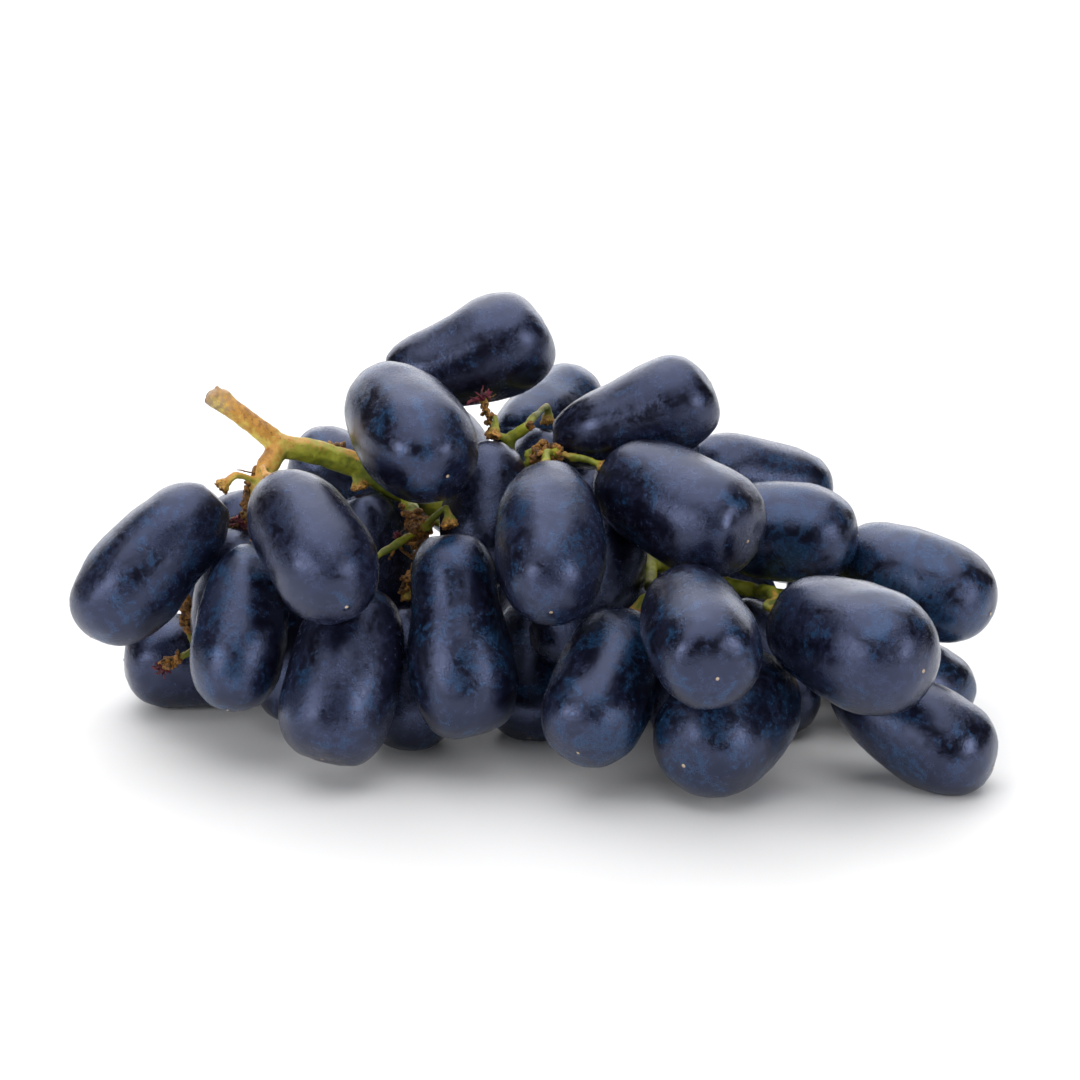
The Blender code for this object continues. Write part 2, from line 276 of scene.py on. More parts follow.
def upright_roll(axis):
    """The rotation that turns +Z to the axis, with +Y towards the front where it can."""
    side = CAMERA_SIDE.cross(axis).normalized()
    return Matrix((side, axis.cross(side), axis)).transposed().to_quaternion()


def pinch(grape, level, waist, half):
    """Draws the skin in round one level, with a soft fall-off to both sides."""
    height = level * half
    pick_verts(grape, lambda co: abs(co.z - height) < PINCH_RING * half)
    bpy.ops.transform.resize(
        value=(1 - waist, 1 - waist, 1),
        center_override=(0, 0, height),
        use_proportional_edit=True,
        proportional_edit_falloff="SMOOTH",
        proportional_size=PINCH_REACH * half,
    )
    bpy.ops.object.mode_set(mode="OBJECT")


def any_habit(draw):
    """A slight bend and waist, for a grape that has no habit of its own in the table."""
    bend = draw.uniform(-9, 9)
    waist = draw.uniform(0, 0.04)
    level = draw.uniform(-0.4, 0.2)
    return bend, 0.0, waist, level, draw.choice((plump, plump, blocky))


def fit_grape(node, size, draw):
    """A copy of a master, shaped as this grape grew and set in the place of its solid."""
    other_habit = any_habit(draw)
    bend, tapered, waist, level, kind = HABITS.get(node, other_habit)
    grape = kind.copy()
    grape.data = kind.data.copy()
    grape.name = node.replace("grape", "berry")
    bpy.context.scene.collection.objects.link(grape)
    slim = BLOCKY_SLIM if kind is blocky else 1.0
    grape.scale = (slim * size["radius"], slim * size["radius"], slim * size["half"])
    pick(grape)
    bpy.ops.object.transform_apply(location=False, rotation=False, scale=True)
    pinch(grape, level, waist, size["half"])
    taper = 2 * (size["taper"] + tapered)
    angle = math.radians(bend)
    add_modifier(grape, "SIMPLE_DEFORM", deform_method="TAPER", deform_axis="Z", factor=taper)
    add_modifier(grape, "SIMPLE_DEFORM", deform_method="BEND", deform_axis="Y", angle=angle)
    apply_all(grape)
    grape.rotation_mode = "QUATERNION"
    grape.rotation_quaternion = upright_roll(size["axis"])
    off_centre = sum(vert.co.x for vert in grape.data.vertices) / len(grape.data.vertices)
    grape.location = size["centre"] - grape.rotation_quaternion @ Vector((off_centre, 0, 0))
    bpy.ops.object.transform_apply(location=True, rotation=True, scale=True)
    push_out(grape, UNEVEN, UNEVEN_DEPTH, mid_level=0.52)
    push_out(grape, DIMPLED, DIMPLED_DEPTH)
    apply_all(grape)
    if size["rests"]:
        for vert in grape.data.vertices:
            vert.co.z = max(vert.co.z, OFF_TABLE)
    return grape


# %% [markdown]
# The bloom isn't the same on every grape. Those that hung in the shade keep more of a steel
# blue, so each grape gets a share of blue of its own, which the skin's material reads.

# %% Fit every grape, and share out the blue
BLUE_SHARES = {
    "grape_tail_1": 1.0,
    "grape_tail_4": 0.9,
    "grape_flank_2": 0.95,
    "grape_flank_3": 0.6,
    "grape_crown_3": 0.8,
    "grape_flank_5": 0.7,
    "grape_belly_6": 0.75,
    "grape_tail_3": 0.6,
    "grape_shoulder_3": 0.7,
    "grape_belly_1": 0.5,
    "grape_crown_7": 0.45,
}


def share_blue(grape, share):
    """Keeps one number on all the vertices of the grape."""
    values = [share] * len(grape.data.vertices)
    grape.data.attributes.new("blue_share", "FLOAT", "POINT").data.foreach_set("value", values)


draw = random.Random(7)
berries = {node: fit_grape(node, grapes[node], draw) for node in sorted(grapes)}
bpy.data.objects.remove(plump)
bpy.data.objects.remove(blocky)
for node, berry in berries.items():
    any_share = draw.uniform(0.0, 0.55)
    share_blue(berry, BLUE_SHARES.get(node, any_share))
print("grapes fitted", len(berries))

# %% [markdown]
# ## The stem
#
# The stem grew as one piece, so it is made as one skin. Its solid has sharp seams where the
# branches were joined. A voxel remesh melts them together, and a few rounds of smoothing
# turn the seams into the soft crotches of a real rachis. Ridges and bumps come after that,
# from noise pushed out along the surface.

# %% Melt the stem into one skin
STEM_VOXEL = 0.34 * MM
STEM_SMOOTHING = 7
SAME_POINT = 0.01 * MM

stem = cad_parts["stem"].copy()
stem.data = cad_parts["stem"].data.copy()
stem.name = "woody_stem"
stem.parent = None
stem.matrix_world = Matrix.Identity(4)
bpy.context.scene.collection.objects.link(stem)
pick(stem)
bpy.ops.object.mode_set(mode="EDIT")
bpy.ops.mesh.select_all(action="SELECT")
bpy.ops.mesh.remove_doubles(threshold=SAME_POINT)
bpy.ops.object.mode_set(mode="OBJECT")
add_modifier(stem, "REMESH", mode="VOXEL", voxel_size=STEM_VOXEL)
add_modifier(stem, "SMOOTH", factor=0.5, iterations=STEM_SMOOTHING)
apply_all(stem)
print("stem", len(stem.data.vertices), "vertices")

# %% [markdown]
# Some receptacles carry no grape and have dried. Their places are listed here, on a plane
# that leans back as the bunch does, and each one is later taken from the nearest skin of the
# stem itself. The same table says how many beads will stand there, and how large.

# %% Where the dried receptacles are
LEAN = math.radians(18)
VIEW_UP = Vector((0, math.sin(LEAN), math.cos(LEAN)))
VIEW_FRONT = Vector((0, -math.cos(LEAN), math.sin(LEAN)))
LAYOUT_MIDDLE = Vector((-0.9, -0.6, -7.3)) * MM
# Across, up, front, spread, number and size of the beads, in millimetres where they are lengths.
BEADED = {
    "dry_twig": (-9.8, 26.5, 1, 3.8, 30, 0.42),
    "spur": (1.0, 27.5, 0, 2.8, 40, 0.62),
    "spur_foot": (-10.0, 22.5, 1, 2.2, 20, 0.55),
    "crown_seat": (4.0, 18.6, 6, 5.0, 70, 0.60),
    "low_twig": (-70.0, -20.0, 0, 3.6, 44, 0.58),
    "stub": (-65.0, -10.0, -2, 4.5, 60, 0.60),
    "belly_seats": (-22.5, 6.5, 12, 4.5, 110, 0.66),
    "belly_branch": (-27.0, 9.0, 8, 3.0, 36, 0.50),
    "belly_drop": (-24.5, -1.0, 8, 6.0, 120, 0.60),
    "green_tip": (-31.0, 11.5, 8, 2.0, 20, 0.50),
    "side_seat": (-57.0, 12.8, 4, 4.4, 76, 0.62),
    "side_knob": (-53.5, 15.5, 4, 2.8, 34, 0.60),
    "inner_side": (-56.5, 6.0, 2, 3.4, 34, 0.55),
    "rachis_back": (-37.5, 23.0, -3, 3.2, 44, 0.62),
}


def layout(across, up, front):
    """A place given in millimetres across, up and towards the viewer from the bunch's middle."""
    middle = (cad_low + cad_high) / 2 + LAYOUT_MIDDLE
    return middle + Vector((across, 0, 0)) * MM + VIEW_UP * up * MM + VIEW_FRONT * front * MM


# %% [markdown]
# Two things change the stem from place to place: it turns tan and woody towards its cut end,
# and warty and orange-brown in its receptacles. How near each vertex is to those places is
# measured once and kept as attributes, which both the warts and the colours use.

# %% Measure where the receptacles and the cut end are
RECEPTACLE_REACH = 3.2 * MM
DRIED_REACH = 1.4
DRIED_SHARE = 0.9
CUT_REACH = 42 * MM

ends = KDTree(len(grapes))
for index, size in enumerate(grapes.values()):
    ends.insert(size["centre"] - size["axis"] * size["half"], index)
ends.balance()
cut_end = min((v.co for v in stem.data.vertices), key=lambda co: co.x - 0.5 * co.z).copy()


def fade(distance, reach):
    """1 at no distance, falling to 0 at the reach and beyond."""
    return max(0.0, 1.0 - distance / reach)


dried = [
    (layout(across, up, front), DRIED_REACH * spread * MM)
    for across, up, front, spread, _, _ in BEADED.values()
]


def corky(co):
    """1 in the middle of a receptacle or a dried place, and 0 away from them."""
    seat = fade(ends.find(co)[2], RECEPTACLE_REACH)
    return max(seat, DRIED_SHARE * max(fade((co - place).length, reach) for place, reach in dried))


receptacle = [corky(v.co) for v in stem.data.vertices]
woody = [fade((v.co - cut_end).length, CUT_REACH) for v in stem.data.vertices]
for name, values in (("receptacle", receptacle), ("woody", woody)):
    stem.data.attributes.new(name, "FLOAT", "POINT").data.foreach_set("value", values)
print("cut end", [round(v / MM, 1) for v in cut_end])

# %% [markdown]
# Bark is never smooth. A broad noise gives the stem knobs, a finer one gives it ridges, and
# a cell pattern raises warts, but only on the receptacles: a vertex group holds them back
# elsewhere. A second group frays the lip of the cut end.

# %% Ridges, knobs and warts
KNOB_DEPTH = 0.7 * MM
RIDGE_DEPTH = 0.34 * MM
WART_DEPTH = 0.9 * MM
LIP_DEPTH = 1.3 * MM
LIP_REACH = 5.5 * MM
WART_GAIN = 1.6

warts = stem.vertex_groups.new(name="warts")
for index, share in enumerate(receptacle):
    warts.add([index], min(1.0, share * WART_GAIN), "REPLACE")
lip = stem.vertex_groups.new(name="cut_lip")
for vert in stem.data.vertices:
    lip.add([vert.index], fade((vert.co - cut_end).length, LIP_REACH), "REPLACE")

ridges = clouds("stem_ridges", 1.6 * MM, 3)
knobs = clouds("stem_knobs", 4.5 * MM, 1)
wart_cells = bpy.data.textures.new("wart_cells", "VORONOI")
wart_cells.noise_scale = 0.85 * MM
wart_cells.noise_intensity = 1.3

push_out(stem, knobs, KNOB_DEPTH)
push_out(stem, ridges, RIDGE_DEPTH)
push_out(stem, ridges, LIP_DEPTH, mid_level=0.30, vertex_group="cut_lip")
# The cells are darkest in their middles, so a negative strength lifts the middles.
push_out(stem, wart_cells, -WART_DEPTH, mid_level=0.4, vertex_group="warts")
apply_all(stem)
bpy.ops.object.shade_smooth()
print("stem", len(stem.data.polygons), "faces")

# %% [markdown]
# ## What the lost grapes left
#
# Where a grape fell off or never grew, its receptacle stays behind as a crust of corky
# beads, some with shrivelled crimson scraps of the flower and a few dry curling strands.
# They are far too small for the solid. One bead and one scrap are modelled, and copies are
# scattered over the stem's own surface near each of those places.

# %% Places on the stem
stem_tree = KDTree(len(stem.data.vertices))
for vert in stem.data.vertices:
    stem_tree.insert(vert.co, vert.index)
stem_tree.balance()
print("stem skin", len(stem.data.vertices), "places")


def on_stem(place, spread, draw):
    """A vertex of the stem's skin, within the spread round the place, and the way out of it."""
    near = stem_tree.find_range(place, spread) or [stem_tree.find(place)]
    vert = stem.data.vertices[draw.choice(near)[1]]
    return vert.co.copy(), vert.normal.copy()


# %% [markdown]
# A bead is a small ball with its crown drawn in and pushed to one side, and a scrap is a
# flattened cone that curls over as it dries. Both are repeated hundreds of times, so they
# have only a few dozen faces, and noise breaks up their regular outlines.

# %% One bead
CROWN = 0.6

bpy.ops.object.select_all(action="DESELECT")
bpy.ops.mesh.primitive_ico_sphere_add(subdivisions=2, radius=1)
bead = bpy.context.object
bead.name = "master_bead"
pick_verts(bead, lambda co: co.z > CROWN)
bpy.ops.transform.resize(value=(0.6, 0.6, 1.0), center_override=(0, 0, 0.8))
bpy.ops.transform.translate(value=(0.25, 0, 0.25))
bpy.ops.object.mode_set(mode="OBJECT")
add_modifier(bead, "DISPLACE", texture=clouds("bead_lumps", 0.7), strength=0.7)
apply_all(bead)
bpy.ops.object.shade_smooth()
print("bead", len(bead.data.polygons), "faces")

# %% One scrap of flower
SCRAP_LENGTH = 1.7
SCRAP_CURL = math.radians(70)

bpy.ops.object.select_all(action="DESELECT")
bpy.ops.mesh.primitive_cone_add(
    vertices=6, radius1=0.50, radius2=0.08, depth=SCRAP_LENGTH, location=(0, 0, SCRAP_LENGTH / 2)
)
scrap = bpy.context.object
scrap.name = "master_scrap"
bpy.ops.object.mode_set(mode="EDIT")
bpy.ops.mesh.subdivide(number_cuts=2)
bpy.ops.transform.resize(value=(1.0, 0.45, 1.0), center_override=(0, 0, 0))
bpy.ops.object.mode_set(mode="OBJECT")
bpy.ops.object.transform_apply(location=True, rotation=True, scale=True)
add_modifier(scrap, "SIMPLE_DEFORM", deform_method="BEND", deform_axis="Y", angle=SCRAP_CURL)
add_modifier(scrap, "DISPLACE", texture=clouds("scrap_lumps", 0.5), strength=0.45)
apply_all(scrap)
bpy.ops.object.shade_smooth()
print("scrap", len(scrap.data.polygons), "faces")

# %% [markdown]
# Copies stand on the stem's skin, each turned, sized and leaning by chance from a seeded
# draw, and those of one place are joined into one piece. The strands are thin curves that
# wander off from the skin, as fibres do when they dry.


# %% A helper that scatters copies
def scatter(name, pattern, place, spread, count, size, draw, lift=0.3, wild=0.4):
    """One piece of many copies, each standing on the stem's skin near the place."""
    copies = []
    for _ in range(count):
        point, normal = on_stem(place, spread, draw)
        copy = pattern.copy()
        copy.data = pattern.data.copy()
        bpy.context.scene.collection.objects.link(copy)
        scale = size * draw.uniform(0.55, 1.25)
        aside = Vector([draw.gauss(0, wild) for _ in range(3)])
        copy.location = point + normal * scale * lift
        copy.rotation_euler = (normal + aside).to_track_quat("Z", "Y").to_euler()
        copy.rotation_euler.rotate_axis("Z", draw.uniform(0, 2 * math.pi))
        copy.scale = (scale, scale * draw.uniform(0.7, 1.1), scale * draw.uniform(0.8, 1.4))
        copies.append(copy)
    bpy.ops.object.select_all(action="DESELECT")
    for copy in copies:
        copy.select_set(True)
    bpy.context.view_layer.objects.active = copies[0]
    bpy.ops.object.join()
    piece = bpy.context.object
    bpy.ops.object.transform_apply(location=True, rotation=True, scale=True)
    piece.name = name
    return piece


# %% A helper that grows a strand
STRAND_ROOT = 1.5 * MM
STRAND_LUMPS = clouds("strand_lumps", 0.5 * MM)
WANDER = 0.42


def strand(name, place, reach, thick, draw, steps=7):
    """A dry strand that starts on the stem and wanders off, thinner and thinner."""
    point, _ = on_stem(place, STRAND_ROOT, draw)
    way = Vector(reach).normalized()
    stride = Vector(reach).length / steps
    curve = bpy.data.curves.new(name, "CURVE")
    curve.dimensions = "3D"
    curve.bevel_depth = thick
    curve.bevel_resolution = 1
    curve.resolution_u = 3
    curve.use_fill_caps = True
    spline = curve.splines.new("NURBS")
    spline.points.add(steps)
    spline.use_endpoint_u = True
    spline.order_u = 3
    for index, knot in enumerate(spline.points):
        knot.co = (*point, 1)
        knot.radius = 1.15 - 0.6 * index / steps + draw.uniform(-0.15, 0.15)
        way = (way + Vector([draw.gauss(0, WANDER) for _ in range(3)])).normalized()
        point = point + way * stride
    piece = bpy.data.objects.new(name, curve)
    bpy.context.scene.collection.objects.link(piece)
    pick(piece)
    bpy.ops.object.convert(target="MESH")
    push_out(piece, STRAND_LUMPS, 0.7 * thick)
    apply_all(piece)
    bpy.ops.object.shade_smooth()
    return piece


# %% Scatter the beads
draw = random.Random(23)
crust = []
for name, (across, up, front, spread, count, size) in BEADED.items():
    place = layout(across, up, front)
    crust.append(scatter("crust_" + name, bead, place, spread * MM, count, size * MM, draw))
print("crusts", len(crust))

# %% Scatter the scraps and grow the strands
SCRAP_LIFT = 0.2
SCRAP_WILD = 0.7
# Across, up, front, spread, number and size of the scraps.
SCRAPS = {
    "twig_flower": (-10.0, 31.0, 1, 1.6, 18, 1.15),
    "belly_flower": (-26.0, 5.2, 14, 1.9, 20, 1.05),
    "low_flower": (-71.5, -21.5, 0, 1.7, 16, 1.00),
    "side_flower": (-56.8, 7.0, 3, 2.2, 20, 1.00),
}
scraps = []
for name, (across, up, front, spread, count, size) in SCRAPS.items():
    place = layout(across, up, front)
    piece = scatter(name, scrap, place, spread * MM, count, size * MM, draw, SCRAP_LIFT, SCRAP_WILD)
    scraps.append(piece)
# Start, how far the strand reaches and its thickness.
STRANDS = {
    "dry_strand_1": ((-27, 4, 14), (1.0, 0.0, -7.0), 0.42),
    "dry_strand_2": ((-26, 4, 13), (3.5, -1.0, -6.0), 0.36),
    "dry_strand_3": ((-28, 5, 13), (-1.5, 0.5, -5.0), 0.34),
    "curly_strand_1": ((-54, 17, 3), (-2.5, -1.0, 3.0), 0.16),
    "curly_strand_2": ((-23, 5, 14), (3.0, -1.5, -4.0), 0.10),
    "curly_strand_3": ((-10, 30, 1), (2.0, -0.5, 1.5), 0.12),
    "low_strand": ((-70, -20, 0), (-2.5, -0.5, 1.0), 0.30),
}
strands = []
for name, (start, reach, thick) in STRANDS.items():
    place = layout(*start)
    reach_metres = [value * MM for value in reach]
    strands.append(strand(name, place, reach_metres, thick * MM, draw))
bpy.data.objects.remove(bead)
bpy.data.objects.remove(scrap)
print("scraps", len(scraps), "strands", len(strands))

# %% [markdown]
# ## Shader maths
#
# A material is easier to read as a formula than as a list of links. The small class below
# wraps a socket, so that an expression such as mask * 0.5 + 0.2 adds the Math nodes itself.


# %% A socket that does arithmetic
class Value:
    """One output of a node. Arithmetic on it adds Math nodes to the same material."""

    def __init__(self, nodes, socket):
        self.nodes = nodes
        self.socket = socket

    def math(self, operation, *others):
        return self.nodes.add("ShaderNodeMath", {"operation": operation}, [self, *others])

    def __add__(self, other):
        return self.math("ADD", other)

    def __sub__(self, other):
        return self.math("SUBTRACT", other)

    def __rsub__(self, other):
        return self.nodes.add("ShaderNodeMath", {"operation": "SUBTRACT"}, [other, self])

    def __mul__(self, other):
        return self.math("MULTIPLY", other)

    __radd__ = __add__
    __rmul__ = __mul__

    def between(self, low, high):
        """0 below low and 1 above high, smooth between them."""
        settings = {"interpolation_type": "SMOOTHSTEP"}
        inputs = {"Value": self, "From Min": low, "From Max": high}
        return self.nodes.add("ShaderNodeMapRange", settings, inputs)


# The Mix node has its sockets for numbers, vectors and colours in one row: these are the colour's.
MIX_FACTOR = 0
MIX_FIRST = 6
MIX_SECOND = 7
MIX_RESULT = 2


class Nodes:
    """A material's nodes, added one by one with their settings and inputs."""

    def __init__(self, name):
        self.material = bpy.data.materials.new(name)
        self.material.use_nodes = True
        self.tree = self.material.node_tree
        self.shader = self.tree.nodes["Principled BSDF"]

    def connect(self, socket, value):
        if isinstance(value, Value):
            self.tree.links.new(value.socket, socket)
        else:
            socket.default_value = value

    def add(self, kind, settings=None, inputs=None, output=0):
        node = self.tree.nodes.new(kind)
        for key, value in (settings or {}).items():
            setattr(node, key, value)
        pairs = enumerate(inputs) if isinstance(inputs, list) else (inputs or {}).items()
        for key, value in pairs:
            self.connect(node.inputs[key], value)
        return Value(self, node.outputs[output])

    def millimetres(self):
        """The place on the piece, counted in millimetres."""
        place = self.add("ShaderNodeTexCoord", output="Object")
        return self.add("ShaderNodeMapping", None, {"Vector": place, "Scale": (1000, 1000, 1000)})

    def attribute(self, name):
        """A number that was kept on the vertices."""
        return self.add("ShaderNodeAttribute", {"attribute_name": name}, output="Fac")

    def noise(self, vector, scale, detail=4.0, roughness=0.55, distortion=0.0):
        inputs = {"Vector": vector, "Scale": scale, "Detail": detail}
        inputs.update({"Roughness": roughness, "Distortion": distortion})
        return self.add("ShaderNodeTexNoise", None, inputs)

    def mix(self, share, first, second):
        """The first colour where share is 0, and the second where it is 1."""
        settings = {"data_type": "RGBA", "clamp_factor": True}
        inputs = {MIX_FACTOR: share, MIX_FIRST: first, MIX_SECOND: second}
        return self.add("ShaderNodeMix", settings, inputs, output=MIX_RESULT)

    def bump(self, height, strength, distance):
        inputs = {"Height": height, "Strength": strength, "Distance": distance}
        return self.add("ShaderNodeBump", None, inputs)

    def finish(self, **inputs):
        for key, value in inputs.items():
            self.connect(self.shader.inputs[key.replace("_", " ").title()], value)
        return self.material


# %% [markdown]
# ## The skin and its bloom
#
# The skin itself is almost black. What makes it look blue-grey is the bloom, a film of wax
# a few thousandths of a millimetre thick. It is mottled, it is speckled where drops dried,
# and it is rubbed away where the grape was touched: there the skin is darker and shinier.
# Large noise sets where the film is thick, finer noise breaks it up, and one mask then
# drives the colour, the roughness and a very small bump together.

# %% The grape skin
DARK_SKIN = (0.0036, 0.0034, 0.0075, 1)
THIN_BLOOM = (0.0070, 0.0080, 0.0200, 1)
GREY_BLOOM = (0.0140, 0.0180, 0.0390, 1)
STEEL_BLOOM = (0.0080, 0.0330, 0.0780, 1)
SCAR_TAN = (0.50, 0.38, 0.25, 1)
WAX_TINT = (0.50, 0.59, 1.0, 1)


def grape_skin():
    """Near-black skin under a mottled film of wax, with the corky scar at the tip."""
    nodes = Nodes("grape_skin")
    where = nodes.millimetres()
    unit = nodes.add("ShaderNodeAttribute", {"attribute_name": "grape_place"}, output="Vector")
    streak_way = nodes.add("ShaderNodeMapping", None, {"Vector": unit, "Scale": (9, 9, 1.6)})
    broad = nodes.noise(where, 0.075, 3.0, 0.5, 0.6)
    patches = nodes.noise(where, 0.24, 5.0, 0.62, 0.8)
    mottle = nodes.noise(where, 0.85, 6.0, 0.68)
    speckle = nodes.noise(where, 3.4, 3.0, 0.6)
    streaks = nodes.noise(streak_way, 1.0, 5.0, 0.6, 0.3)
    steel = nodes.noise(where, 0.12, 4.0, 0.6, 1.0)

    # The film is thick or thin by patches, and the finer grain decides what stays covered.
    thick = broad * 0.9 + patches * 1.1 + streaks * 0.3
    grain = mottle * 1.1 + speckle * 0.5
    bloom = (thick + grain).between(1.74, 2.20)
    pits = speckle.between(0.58, 0.68) * mottle.between(0.42, 0.60)
    bloom = bloom * (1 - pits * 0.7)
    blue_share = nodes.attribute("blue_share")
    blue = (steel + mottle * 0.5 + blue_share * 0.22).between(0.84, 0.98) * patches.between(0.38, 0.60)

    color = nodes.mix(bloom.between(0.0, 0.5), DARK_SKIN, THIN_BLOOM)
    color = nodes.mix(bloom.between(0.35, 1.0), color, GREY_BLOOM)
    color = nodes.mix(blue * (0.55 + grain.between(0.65, 0.95) * 0.45), color, STEEL_BLOOM)
    height = nodes.add("ShaderNodeSeparateXYZ", None, [unit], output="Z")
    level = nodes.add("ShaderNodeVectorMath", {"operation": "MULTIPLY"}, [unit, (1, 1, 0)])
    off_axis = nodes.add("ShaderNodeVectorMath", {"operation": "LENGTH"}, [level], output="Value")
    scar = (1 - off_axis.between(0.020, 0.036)) * height.between(0.4, 0.6)
    color = nodes.mix(scar, color, SCAR_TAN)

    # Bare skin is glossy, wax is duller, and the wax stands very slightly proud.
    rough = 0.155 + bloom * 0.085 + mottle * 0.07
    relief = nodes.bump(mottle * 0.8 + speckle * 0.5 + bloom * 0.4, 0.45, 0.09 * MM)
    return nodes.finish(base_color=color, roughness=rough, normal=relief)


skin = grape_skin()
gloss = skin.node_tree.nodes["Principled BSDF"].inputs
gloss["Specular IOR Level"].default_value = 1.0
gloss["Specular Tint"].default_value = WAX_TINT
print("grape skin", len(skin.node_tree.nodes), "nodes")

# %% [markdown]
# ## The stem's bark
#
# The stem is green and a little translucent where it is young. Towards the cut it turns
# orange and tan as it lignifies, with brown flecks, and the receptacles are orange-brown
# with dark corky warts. The two measured attributes steer those changes. The underside is
# painted a darker olive as shade.

# %% The stem wood
YOUNG_GREEN = (0.30, 0.31, 0.016, 1)
OLIVE_TONE_AND_SHADE = (0.12, 0.15, 0.010, 1)
YELLOW = (0.74, 0.60, 0.130, 1)
AMBER = (0.55, 0.27, 0.042, 1)
RUST = (0.24, 0.095, 0.022, 1)
TAN = (0.36, 0.24, 0.13, 1)
SCORCHED = (0.13, 0.075, 0.045, 1)
CORK = (0.12, 0.055, 0.016, 1)
FLECK = (0.060, 0.026, 0.009, 1)


def stem_wood():
    """Green stem that turns amber and tan towards the cut, and corky on the receptacles."""
    nodes = Nodes("stem_wood")
    where = nodes.millimetres()
    woody_here = nodes.attribute("woody")
    receptacle_here = nodes.attribute("receptacle")
    facing = nodes.add("ShaderNodeNewGeometry", output="Normal")
    upper = nodes.add("ShaderNodeSeparateXYZ", None, [facing], output="Z")
    broad = nodes.noise(where, 0.16, 3.0, 0.55, 0.5)
    grain = nodes.noise(where, 0.9, 5.0, 0.65)
    fine = nodes.noise(where, 3.0, 3.0, 0.6)

    color = nodes.mix((broad + grain * 0.4).between(0.55, 0.82), YOUNG_GREEN, OLIVE_TONE_AND_SHADE)
    # Painted shade: faces that point down are mixed towards the darker olive green.
    color = nodes.mix((0 - upper).between(0.1, 0.9) * 0.6, color, OLIVE_TONE_AND_SHADE)
    color = nodes.mix((woody_here + (broad - 0.5) * 0.5).between(0.42, 0.72), color, YELLOW)
    ripe = woody_here * 0.75 + upper * 0.42 + (broad - 0.5) * 1.5 + (grain - 0.5) * 1.0
    amber = ripe.between(0.40, 0.82)
    rust = (ripe + fine * 0.5).between(1.08, 1.30) * 0.7
    color = nodes.mix(amber, color, AMBER)
    color = nodes.mix(rust, color, RUST)
    tan = (woody_here + (grain - 0.5) * 0.3).between(0.84, 0.97)
    color = nodes.mix(tan, color, TAN)
    color = nodes.mix(woody_here.between(0.965, 0.99), color, SCORCHED)
    cork = (receptacle_here * 1.6 + (grain - 0.5) * 1.4).between(0.20, 0.80)
    color = nodes.mix(cork, color, AMBER)
    color = nodes.mix(cork * fine.between(0.38, 0.56), color, CORK)
    flecks = (fine * 0.6 + grain * 0.4).between(0.59, 0.67)
    color = nodes.mix(flecks * 0.75, color, FLECK)
    relief = nodes.bump(grain + fine * 0.5, 0.6, 0.30 * MM)
    return nodes.finish(base_color=color, roughness=0.50 + cork * 0.25, normal=relief)


wood = stem_wood()
sap = wood.node_tree.nodes["Principled BSDF"].inputs
sap["Subsurface Weight"].default_value = 0.10
sap["Subsurface Scale"].default_value = 1.2 * MM
print("stem wood", len(wood.node_tree.nodes), "nodes")

# %% [markdown]
# The beads are golden-brown cork that darkens in patches, and the scraps of flower are
# crimson, paling to straw where they have dried out. Both are dull, with a rough surface.

# %% Cork beads and withered scraps
GOLD_CORK = (0.34, 0.15, 0.025, 1)
DARK_CORK = (0.045, 0.020, 0.008, 1)
CRIMSON = (0.16, 0.012, 0.035, 1)
PLUM = (0.035, 0.006, 0.016, 1)
STRAW = (0.40, 0.22, 0.10, 1)


def withered(name, light, dark, tip, tip_share):
    """Two blotched colours, with a third one in grains."""
    nodes = Nodes(name)
    where = nodes.millimetres()
    blotch = nodes.noise(where, 0.8, 4.0, 0.6)
    grit = nodes.noise(where, 3.5, 4.0, 0.65)
    color = nodes.mix((blotch + (grit - 0.5) * 0.8).between(0.38, 0.62), light, dark)
    color = nodes.mix(grit.between(0.55, 0.70) * tip_share, color, tip)
    relief = nodes.bump(grit, 0.7, 0.2 * MM)
    return nodes.finish(base_color=color, roughness=0.62 + grit * 0.25, normal=relief)


bead_cork = withered("bead_cork", GOLD_CORK, DARK_CORK, STRAW, 0.35)
dry_crimson = withered("dry_crimson", CRIMSON, PLUM, STRAW, 0.6)

# %% [markdown]
# ## Dressing the pieces
#
# Each berry stands in for its solid, and the woody stem for the stem's solid. The beads,
# scraps and strands are extra. Nothing on a bunch moves, so every piece rides on the root.

# %% Dress the pieces
for node, berry in berries.items():
    berry.data.materials.clear()
    berry.data.materials.append(skin)
    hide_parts(node)
    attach(berry, "root")
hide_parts("stem")
for pieces, finish in (([stem], wood), (crust + strands, bead_cork), (scraps, dry_crimson)):
    for piece in pieces:
        piece.data.materials.clear()
        piece.data.materials.append(finish)
        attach(piece, "root")
print("pieces dressed", len(berries) + 1 + len(crust) + len(strands) + len(scraps))

# %% [markdown]
# ## Table, light and camera
#
# Dark, waxy fruit shows its form mostly by what it reflects, as polished stone does. A large
# soft panel overhead lays a broad grey sheen on every upper side, two smaller ones in front
# give the paired highlights, the pale table lifts the undersides, and what lies between
# those reflections stays nearly black.

# %% The pale table
TABLE_SIDE = 8.0
bpy.ops.object.select_all(action="DESELECT")
bpy.ops.mesh.primitive_plane_add(size=TABLE_SIDE, location=(0, 0, 0))
table = bpy.context.object
table.name = "pale_table"
bpy.ops.object.mode_set(mode="EDIT")
bpy.ops.mesh.subdivide(number_cuts=3)
bpy.ops.object.mode_set(mode="OBJECT")
paper = Nodes("pale_paper")
spot = paper.add("ShaderNodeTexCoord", output="Object")
tooth = paper.noise(spot, 900, 3.0, 0.5)
paper.finish(base_color=(0.78, 0.78, 0.785, 1), roughness=0.75 + tooth * 0.1)
table.data.materials.append(paper.material)
print("table", TABLE_SIDE, "m square")


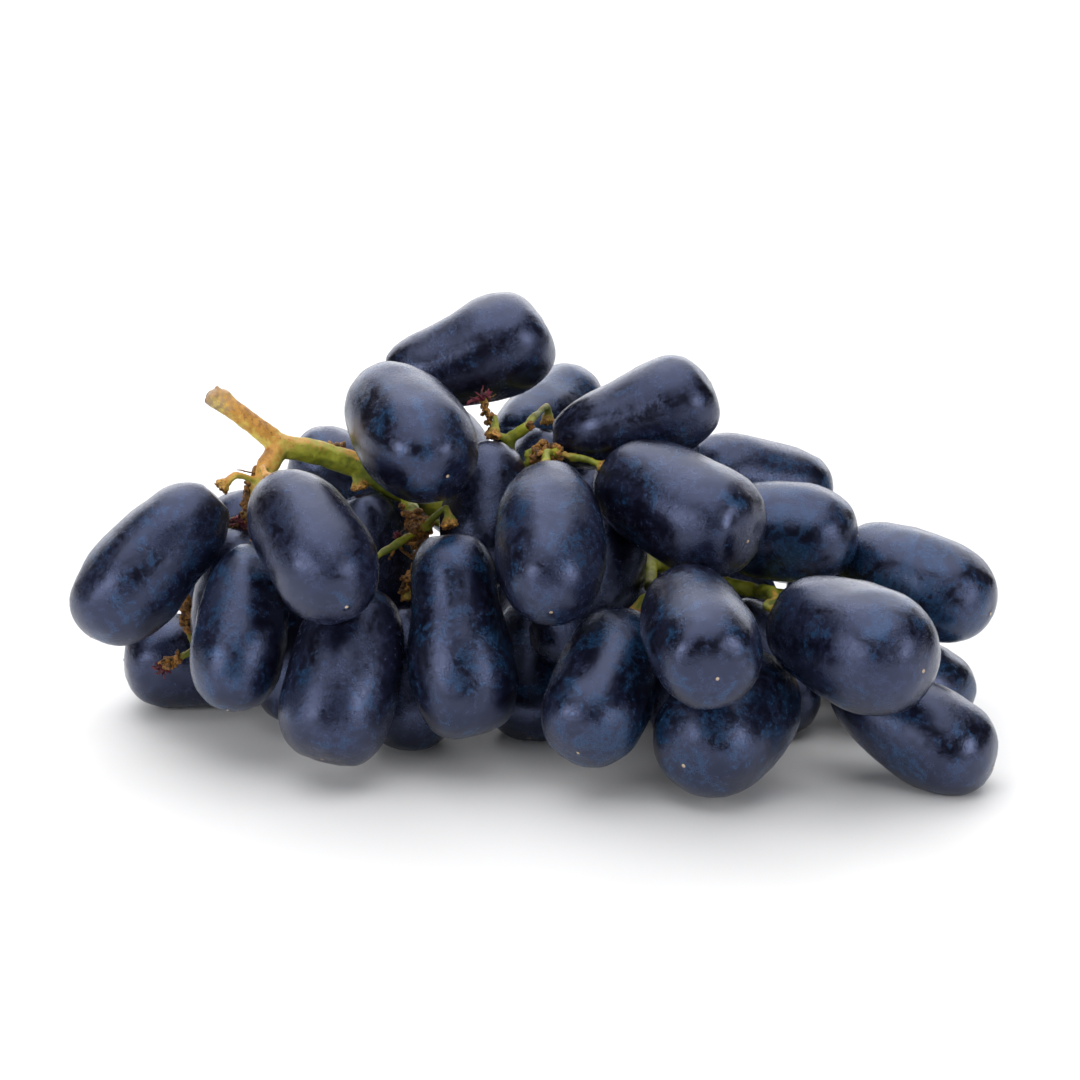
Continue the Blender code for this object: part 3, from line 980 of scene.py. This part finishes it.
# %% The studio light
def panel(name, bearing, height, distance, size, radiance):
    """A soft panel that faces the bunch. Its power follows from its area and its brightness."""
    light = bpy.data.lights.new(name, "AREA")
    light.shape = "RECTANGLE"
    light.size, light.size_y = size
    light.energy = radiance * math.pi * size[0] * size[1]
    lamp = bpy.data.objects.new(name, light)
    bearing, height = math.radians(bearing), math.radians(height)
    level = Vector((math.sin(bearing), -math.cos(bearing), 0)) * math.cos(height)
    way = level + Vector((0, 0, math.sin(height)))
    lamp.location = middle + way * distance
    lamp.rotation_euler = way.to_track_quat("Z", "Y").to_euler()
    bpy.context.scene.collection.objects.link(lamp)
    return lamp


middle = (cad_low + cad_high) / 2
# Bearing and height in degrees, distance and size in metres, and brightness.
panel("overhead_panel", -25, 80, 0.80, (1.00, 1.05), 1.95)
panel("left_panel", -47, 17, 1.0, (0.44, 0.44), 5.2)
panel("right_panel", 47, 17, 1.0, (0.44, 0.44), 4.8)
panel("back_panel", 180, 16, 1.2, (2.2, 0.6), 2.6)
panel("back_wash", 180, 50, 1.5, (1.8, 1.0), 2.0)

# %% [markdown]
# The room round the table is white, and lights the table and the stem evenly. In the dark
# skins its reflection is toned down, as black cards beside the camera do in a studio.

# %% The room
ROOM_LIGHT = 0.42
CARD_SHADE = 0.035
world = bpy.data.worlds.new("pale_room")
bpy.context.scene.world = world
world.use_nodes = True
room = world.node_tree
background = room.nodes["Background"]
background.inputs["Color"].default_value = (1.0, 1.0, 1.0, 1)
ray = room.nodes.new("ShaderNodeLightPath")
shade = room.nodes.new("ShaderNodeMapRange")
shade.inputs["To Min"].default_value = ROOM_LIGHT
shade.inputs["To Max"].default_value = CARD_SHADE
seen = room.nodes.new("ShaderNodeMath")
seen.operation = "MAXIMUM"
room.links.new(ray.outputs["Is Glossy Ray"], shade.inputs["Value"])
room.links.new(shade.outputs["Result"], seen.inputs[0])
room.links.new(ray.outputs["Is Camera Ray"], seen.inputs[1])
room.links.new(seen.outputs["Value"], background.inputs["Strength"])
print("room light", ROOM_LIGHT, "and in reflections", CARD_SHADE)

# %% [markdown]
# The camera looks down a little on the bunch from its long side, from far enough away that
# the near grapes don't swell. Its lens follows from how wide the picture is at the bunch.

# %% The camera
ELEVATION = math.radians(18)
DISTANCE = 0.70
FRAMED = 0.2038
SENSOR = 36.0
AIM_DROP = 3.7 * MM

aim = middle - Vector((0, 0, AIM_DROP))
camera_data = bpy.data.cameras.new("camera")
camera_data.sensor_width = SENSOR
camera_data.lens = SENSOR * DISTANCE / FRAMED
camera = bpy.data.objects.new("camera", camera_data)
camera.location = aim + DISTANCE * Vector((0, -math.cos(ELEVATION), math.sin(ELEVATION)))
camera.rotation_euler = (math.pi / 2 - ELEVATION, 0, 0)
bpy.context.scene.collection.objects.link(camera)
bpy.context.scene.camera = camera
bpy.context.scene.view_settings.view_transform = "Standard"
print("lens", round(camera_data.lens, 1), "mm")
